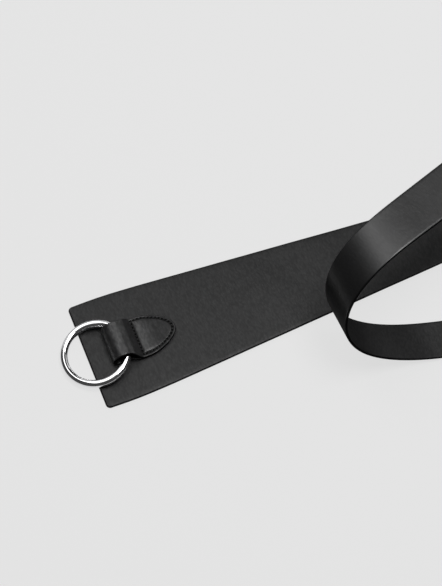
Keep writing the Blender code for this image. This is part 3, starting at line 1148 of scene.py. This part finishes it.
def glow_material(name, settings):
    """Even pale light, as bright as the backdrop, and nothing else."""
    material, _, shader, _ = new_material(name)
    shader.inputs["Base Color"].default_value = (0.0, 0.0, 0.0, 1.0)
    shader.inputs["Specular IOR Level"].default_value = 0.0
    shader.inputs["Emission Color"].default_value = (1.0, 1.0, 1.0, 1.0)
    shader.inputs["Emission Strength"].default_value = settings.backdrop
    return material


def make_floor(settings):
    """A round floor: rings of points whose distance grows evenly, round a middle point."""
    rings, sides = 12, 96
    turn = np.linspace(0.0, 2 * math.pi, sides, endpoint=False)
    reach = settings.floor_size * (np.arange(1, rings + 1) / rings)[:, None]
    x, y = reach * np.cos(turn), reach * np.sin(turn)
    points = np.stack([x, y, np.zeros_like(x)], axis=-1).reshape(-1, 3)
    points = np.concatenate([points, np.zeros((1, 3))])
    number = np.arange(rings * sides).reshape(rings, sides)
    turned = np.roll(number, -1, axis=1)
    faces = np.stack([number[:-1], number[1:], turned[1:], turned[:-1]], axis=-1).reshape(-1, 4).tolist()
    faces += np.stack([number[0], turned[0], np.full(sides, rings * sides)], axis=1).tolist()
    return mesh_object("studio_floor", points, faces, points[:, :2], {}, floor_material(settings))


def make_backdrop(settings):
    """A wide dome of even pale light that only the camera sees, with a flat border in to the floor's
    edge: rings of points whose distance from the middle is the dome's radius times the cosine of their
    height angle, and whose height is its sine."""
    rings, sides = 17, 96
    rise = np.linspace(0.0, math.pi / 2, rings - 1, endpoint=False)
    turn = np.linspace(0.0, 2 * math.pi, sides, endpoint=False)
    reach = np.concatenate([[settings.floor_size], settings.backdrop_size * np.cos(rise)])[:, None]
    height = np.concatenate([[0.0], settings.backdrop_size * np.sin(rise)])
    z = np.broadcast_to(height[:, None], (rings, sides))
    points = np.stack([reach * np.cos(turn), reach * np.sin(turn), z], axis=-1).reshape(-1, 3)
    points = np.concatenate([points, [[0.0, 0.0, settings.backdrop_size]]])
    number = np.arange(rings * sides).reshape(rings, sides)
    turned = np.roll(number, -1, axis=1)
    faces = np.stack([number[:-1], number[1:], turned[1:], turned[:-1]], axis=-1).reshape(-1, 4).tolist()
    faces += np.stack([number[-1], np.full(sides, rings * sides), turned[-1]], axis=1).tolist()
    made = mesh_object(
        "studio_backdrop", points, faces, points[:, :2], {}, glow_material("studio_backdrop_finish", settings)
    )
    made.visible_diffuse = made.visible_glossy = made.visible_transmission = made.visible_shadow = False
    return made


def make_card(settings):
    """A pale disc just under the floor below the ring, seen in reflections alone: a ring of points round
    a middle one."""
    sides = 48
    turn = np.linspace(0.0, 2 * math.pi, sides, endpoint=False)
    low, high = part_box("ring")
    middle = (low + high) / 2
    x = middle.x + settings.card_size * np.cos(turn)
    y = middle.y + settings.card_size * np.sin(turn)
    points = np.stack([x, y, np.full(sides, -CARD_DROP)], axis=1)
    points = np.concatenate([points, [[middle.x, middle.y, -CARD_DROP]]])
    ahead = np.roll(np.arange(sides), -1)
    faces = np.stack([np.arange(sides), ahead, np.full(sides, sides)], axis=1)
    glow = glow_material("ring_card_finish", settings)
    made = mesh_object("ring_card", points, faces, points[:, :2], {}, glow)
    made.visible_camera = made.visible_diffuse = made.visible_transmission = made.visible_shadow = False
    return made


def make_softbox(name, away, size, power):
    """A soft rectangular light that faces the origin from a place."""
    light = bpy.data.lights.new(name, "AREA")
    light.shape = "RECTANGLE"
    light.size, light.size_y = size
    light.energy = power
    holder = bpy.data.objects.new(name, light)
    holder.location = away
    holder.rotation_euler = (-Vector(away)).to_track_quat("-Z", "Y").to_euler()
    bpy.context.scene.collection.objects.link(holder)
    return holder


def make_camera(settings):
    """The camera at the photograph's angle, looking at the middle of its picture."""
    azimuth, elevation = settings.camera_azimuth, settings.camera_elevation
    back = Vector(
        (
            math.sin(azimuth) * math.cos(elevation),
            -math.cos(azimuth) * math.cos(elevation),
            math.sin(elevation),
        )
    )
    camera = bpy.data.cameras.new("belt_camera")
    camera.lens = settings.camera_lens
    camera.clip_start = 0.01
    holder = bpy.data.objects.new("belt_camera", camera)
    holder.location = Vector(LOOK_AT) + back * settings.camera_distance
    holder.rotation_euler = (-back).to_track_quat("-Z", "Y").to_euler()
    bpy.context.scene.collection.objects.link(holder)
    bpy.context.scene.camera = holder


def make_world(settings):
    """Even light from all round."""
    world = bpy.data.worlds.new("studio_world")
    world.use_nodes = True
    background = world.node_tree.nodes["Background"]
    background.inputs["Color"].default_value = (1.0, 1.0, 1.0, 1.0)
    background.inputs["Strength"].default_value = settings.sky
    bpy.context.scene.world = world


class KNOTBELT_OT_strap(Operator):
    """Build the strap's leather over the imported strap"""

    bl_idname = "knot_belt.strap"
    bl_label = "Build Strap"

    def execute(self, context):
        strap = make_strap(context.scene.knot_belt.strap)
        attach(strap, "belt")
        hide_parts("strap")
        return {"FINISHED"}


class KNOTBELT_OT_keeper(Operator):
    """Build the leather keeper that holds the ring"""

    bl_idname = "knot_belt.keeper"
    bl_label = "Build Keeper"

    def execute(self, context):
        keeper = make_keeper(context.scene.knot_belt.keeper)
        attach(keeper, "belt")
        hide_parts("ring_tab")
        return {"FINISHED"}


class KNOTBELT_OT_stitches(Operator):
    """Sew the keeper's stitches"""

    bl_idname = "knot_belt.stitches"
    bl_label = "Sew Stitches"

    def execute(self, context):
        stitches = make_stitches(context.scene.knot_belt.keeper)
        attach(stitches, "belt")
        return {"FINISHED"}


class KNOTBELT_OT_ring(Operator):
    """Build the polished ring"""

    bl_idname = "knot_belt.ring"
    bl_label = "Build Ring"

    def execute(self, context):
        ring = make_ring(context.scene.knot_belt.ring)
        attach(ring, "ring")
        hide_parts("ring")
        return {"FINISHED"}


class KNOTBELT_OT_stage(Operator):
    """Set up the floor, the lights and the camera"""

    bl_idname = "knot_belt.stage"
    bl_label = "Set Up Studio"

    def execute(self, context):
        settings = context.scene.knot_belt.studio
        floor = make_floor(settings)
        floor.visible_glossy = False
        floor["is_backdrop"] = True
        make_world(settings)
        for name, away, size, share in SOFTBOXES:
            make_softbox(name, away, size, settings.softbox_power * share)
        make_backdrop(settings)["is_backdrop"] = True
        make_card(settings)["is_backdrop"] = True
        make_camera(settings)
        context.scene.view_settings.view_transform = "Standard"
        return {"FINISHED"}


class KNOTBELT_PT_panel(Panel):
    """The belt's operators, in the order in which they run"""

    bl_label = "Knot Belt"
    bl_idname = "KNOTBELT_PT_panel"
    bl_space_type = "VIEW_3D"
    bl_region_type = "UI"
    bl_category = "Knot Belt"

    def draw(self, context):
        for operator in OPERATORS:
            self.layout.operator(operator.bl_idname)


SETTINGS = (StrapSettings, KeeperSettings, RingSettings, StudioSettings, BeltSettings)
OPERATORS = (
    KNOTBELT_OT_strap,
    KNOTBELT_OT_keeper,
    KNOTBELT_OT_stitches,
    KNOTBELT_OT_ring,
    KNOTBELT_OT_stage,
)


def register():
    for part in (*SETTINGS, *OPERATORS, KNOTBELT_PT_panel):
        bpy.utils.register_class(part)
    bpy.types.Scene.knot_belt = PointerProperty(type=BeltSettings)


def unregister():
    del bpy.types.Scene.knot_belt
    for part in reversed((*SETTINGS, *OPERATORS, KNOTBELT_PT_panel)):
        bpy.utils.unregister_class(part)


def main():
    register()
    bpy.ops.knot_belt.strap()
    bpy.ops.knot_belt.keeper()
    bpy.ops.knot_belt.stitches()
    bpy.ops.knot_belt.ring()
    bpy.ops.knot_belt.stage()
    sizes = {"cad": cad_box, "visual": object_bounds()}
    {name: [list(corner) for corner in box] for name, box in sizes.items()}


if __name__ == "__main__":
    main()
